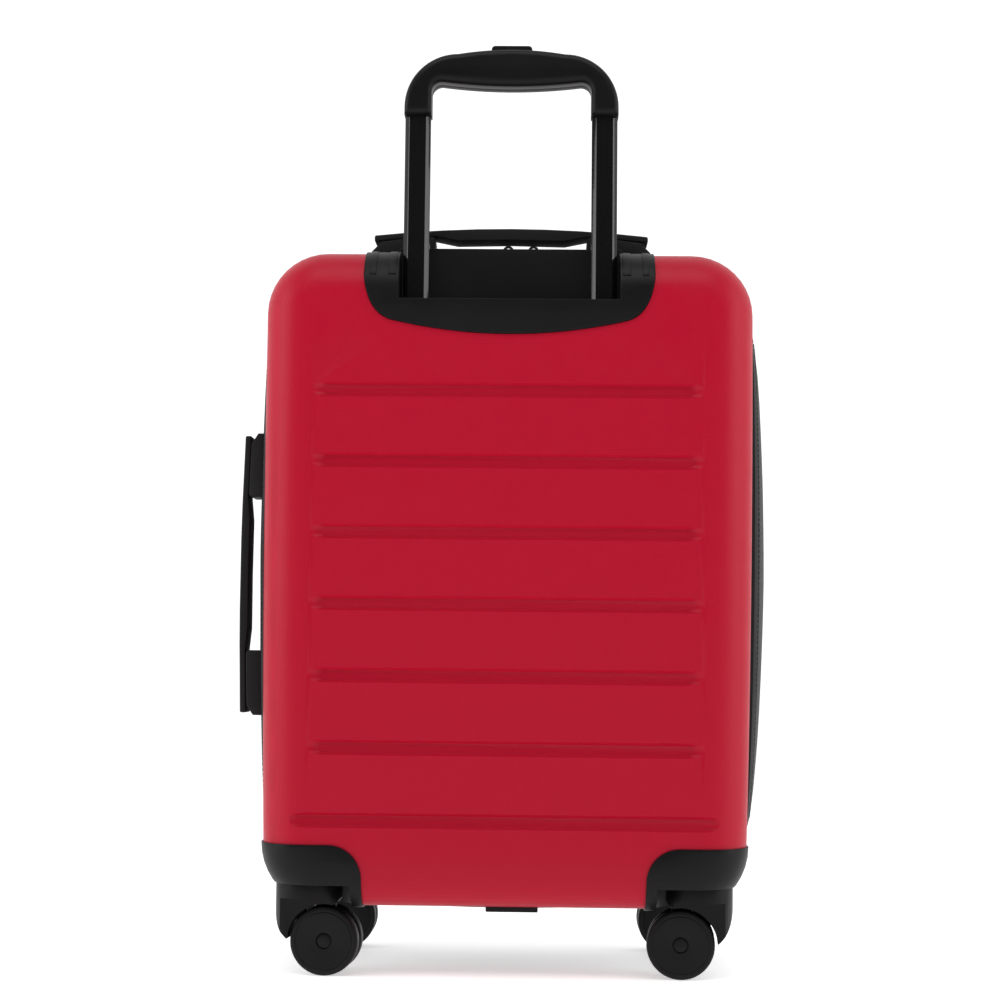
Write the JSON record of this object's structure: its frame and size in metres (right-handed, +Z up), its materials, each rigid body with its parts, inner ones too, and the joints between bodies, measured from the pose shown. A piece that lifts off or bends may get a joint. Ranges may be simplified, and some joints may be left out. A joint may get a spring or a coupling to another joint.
{
  "type": "upright suitcase",
  "caption": "Upright cabin suitcase with a ribbed red back shell, black soft body, zipped front lid, trolley handle, strap handles and twin-wheel spinner casters.",
  "frame": {"origin": "on the floor, under the middle of the part's bounding box", "axes": "+Z up, the ribbed shell and the trolley handle face -Y, the zipped front lid faces +Y, the side strap handle is on -X"},
  "size_m": [0.4201, 0.23, 0.72],
  "materials": {
    "shell_red": "satin red moulded shell with a fine woven texture",
    "body_fabric": "smooth black woven nylon over foam",
    "lid_fabric": "red woven polyester",
    "trim_black": "black tape and cord",
    "steel": "plain steel",
    "zip_metal": "plated zinc",
    "tube_gloss_black": "gloss black coated tube",
    "plastic_black": "satin black moulded plastic",
    "grip_black": "soft satin black moulded grip",
    "handle_rubber": "black moulded rubber",
    "wheel_black": "dark grey urethane"
  },
  "bodies": {
    "case": {"back_shell": "shell_red", "soft_body": "body_fabric", "rim_piping": "trim_black", "zip_track": "trim_black", "frame_hoop": "steel", "trolley_bezel": "plastic_black", "trolley_foot": "plastic_black", "tube_sleeve_left": "steel", "tube_sleeve_right": "steel", "top_strap_foot_left": "handle_rubber", "top_strap_foot_right": "handle_rubber", "side_strap_foot_upper": "handle_rubber", "side_strap_foot_lower": "handle_rubber", "base_stud": "plastic_black", "rear_left_guard": "plastic_black", "rear_right_guard": "plastic_black", "front_left_guard": "plastic_black", "front_right_guard": "plastic_black", "rear_left_kingpin": "steel", "rear_right_kingpin": "steel", "front_left_kingpin": "steel", "front_right_kingpin": "steel"},
    "lid": {"front_lid": "lid_fabric", "front_pocket": "lid_fabric"},
    "middle_stage": {"middle_tube_left": "tube_gloss_black", "middle_tube_right": "tube_gloss_black"},
    "inner_stage": {"inner_tube_left": "tube_gloss_black", "inner_tube_right": "tube_gloss_black", "grip_rear_half": "grip_black", "grip_front_half": "grip_black"},
    "release": {"release_button": "grip_black", "release_rod_left": "steel", "release_rod_right": "steel"},
    "pin_left": {"lock_pin_left": "steel"},
    "pin_right": {"lock_pin_right": "steel"},
    "top_handle": {"top_strap": "handle_rubber"},
    "side_handle": {"side_strap": "handle_rubber"},
    "slider_left": {"zip_slider_left": "zip_metal"},
    "slider_right": {"zip_slider_right": "zip_metal"},
    "pull_left": {"zip_pull_left": "trim_black"},
    "pull_right": {"zip_pull_right": "trim_black"},
    "rear_left_caster": {"rear_left_fork": "plastic_black", "rear_left_axle": "wheel_black"},
    "rear_left_near_wheel": {"rear_left_wheel_near": "wheel_black"},
    "rear_left_far_wheel": {"rear_left_wheel_far": "wheel_black"},
    "rear_right_caster": {"rear_right_fork": "plastic_black", "rear_right_axle": "wheel_black"},
    "rear_right_near_wheel": {"rear_right_wheel_near": "wheel_black"},
    "rear_right_far_wheel": {"rear_right_wheel_far": "wheel_black"},
    "front_left_caster": {"front_left_fork": "plastic_black", "front_left_axle": "wheel_black"},
    "front_left_near_wheel": {"front_left_wheel_near": "wheel_black"},
    "front_left_far_wheel": {"front_left_wheel_far": "wheel_black"},
    "front_right_caster": {"front_right_fork": "plastic_black", "front_right_axle": "wheel_black"},
    "front_right_near_wheel": {"front_right_wheel_near": "wheel_black"},
    "front_right_far_wheel": {"front_right_wheel_far": "wheel_black"}
  },
  "joints": [
    {"name": "lid_hinge", "type": "hinge", "parent": "case", "child": "lid", "pos_m": [0.00245, 0.107, 0.106], "axis": [-1, 0, 0], "range_deg": [0, 150]},
    {"name": "trolley_middle", "type": "slide", "parent": "case", "child": "middle_stage", "axis": [0, 0, 1], "range_m": [0, 0.225]},
    {"name": "trolley_inner", "type": "slide", "parent": "middle_stage", "child": "inner_stage", "axis": [0, 0, 1], "range_m": [-0.1477, 0.0873]},
    {"name": "button_press", "type": "slide", "parent": "inner_stage", "child": "release", "axis": [0, 0, -1], "range_m": [0, 0.0035], "stiffness_N_per_m": 800, "springref_m": -0.004},
    {"name": "pin_left_retract", "type": "slide", "parent": "inner_stage", "child": "pin_left", "axis": [-1, 0, 0], "range_m": [0, 0.0014]},
    {"name": "pin_right_retract", "type": "slide", "parent": "inner_stage", "child": "pin_right", "axis": [1, 0, 0], "range_m": [0, 0.0014]},
    {"name": "top_strap_lift", "type": "slide", "parent": "case", "child": "top_handle", "axis": [0, 0, 1], "range_m": [0, 0.006], "stiffness_N_per_m": 300},
    {"name": "side_strap_lift", "type": "slide", "parent": "case", "child": "side_handle", "axis": [-1, 0, 0], "range_m": [0, 0.006], "stiffness_N_per_m": 300},
    {"name": "slider_left_run", "type": "slide", "parent": "case", "child": "slider_left", "axis": [-0.9999, 0, -0.0164], "range_m": [0, 0.065]},
    {"name": "slider_right_run", "type": "slide", "parent": "case", "child": "slider_right", "axis": [0.9999, 0, -0.0164], "range_m": [0, 0.05]},
    {"name": "pull_left_swing", "type": "hinge", "parent": "slider_left", "child": "pull_left", "pos_m": [-0.00095, 0.0247, 0.57484], "axis": [0, 1, 0], "range_deg": [-70, 70], "stiffness_Nm_per_rad": 0.002},
    {"name": "pull_right_swing", "type": "hinge", "parent": "slider_right", "child": "pull_right", "pos_m": [0.02005, 0.0247, 0.57484], "axis": [0, 1, 0], "range_deg": [-70, 70], "stiffness_Nm_per_rad": 0.002},
    {"name": "rear_left_swivel", "type": "hinge", "parent": "case", "child": "rear_left_caster", "pos_m": [-0.14705, -0.075, 0.06], "axis": [0, 0, 1], "continuous": true},
    {"name": "rear_left_near_roll", "type": "hinge", "parent": "rear_left_caster", "child": "rear_left_near_wheel", "pos_m": [-0.13288, -0.07599, 0.026], "axis": [0.0698, 0.9976, 0], "continuous": true},
    {"name": "rear_left_far_roll", "type": "hinge", "parent": "rear_left_caster", "child": "rear_left_far_wheel", "pos_m": [-0.13288, -0.07599, 0.026], "axis": [0.0698, 0.9976, 0], "continuous": true},
    {"name": "rear_right_swivel", "type": "hinge", "parent": "case", "child": "rear_right_caster", "pos_m": [0.15195, -0.075, 0.06], "axis": [0, 0, 1], "continuous": true},
    {"name": "rear_right_near_roll", "type": "hinge", "parent": "rear_right_caster", "child": "rear_right_near_wheel", "pos_m": [0.13779, -0.07401, 0.026], "axis": [0.0698, 0.9976, 0], "continuous": true},
    {"name": "rear_right_far_roll", "type": "hinge", "parent": "rear_right_caster", "child": "rear_right_far_wheel", "pos_m": [0.13779, -0.07401, 0.026], "axis": [0.0698, 0.9976, 0], "continuous": true},
    {"name": "front_left_swivel", "type": "hinge", "parent": "case", "child": "front_left_caster", "pos_m": [-0.14705, 0.075, 0.06], "axis": [0, 0, 1], "continuous": true},
    {"name": "front_left_near_roll", "type": "hinge", "parent": "front_left_caster", "child": "front_left_near_wheel", "pos_m": [-0.13285, 0.075, 0.026], "axis": [0, 1, 0], "continuous": true},
    {"name": "front_left_far_roll", "type": "hinge", "parent": "front_left_caster", "child": "front_left_far_wheel", "pos_m": [-0.13285, 0.075, 0.026], "axis": [0, 1, 0], "continuous": true},
    {"name": "front_right_swivel", "type": "hinge", "parent": "case", "child": "front_right_caster", "pos_m": [0.15195, 0.075, 0.06], "axis": [0, 0, 1], "continuous": true},
    {"name": "front_right_near_roll", "type": "hinge", "parent": "front_right_caster", "child": "front_right_near_wheel", "pos_m": [0.13775, 0.075, 0.026], "axis": [0, 1, 0], "continuous": true},
    {"name": "front_right_far_roll", "type": "hinge", "parent": "front_right_caster", "child": "front_right_far_wheel", "pos_m": [0.13775, 0.075, 0.026], "axis": [0, 1, 0], "continuous": true}
  ],
  "couplings": [
    {"joint": "pin_left_retract", "follows": "button_press", "ratio": 0.4},
    {"joint": "pin_right_retract", "follows": "button_press", "ratio": 0.4}
  ]
}
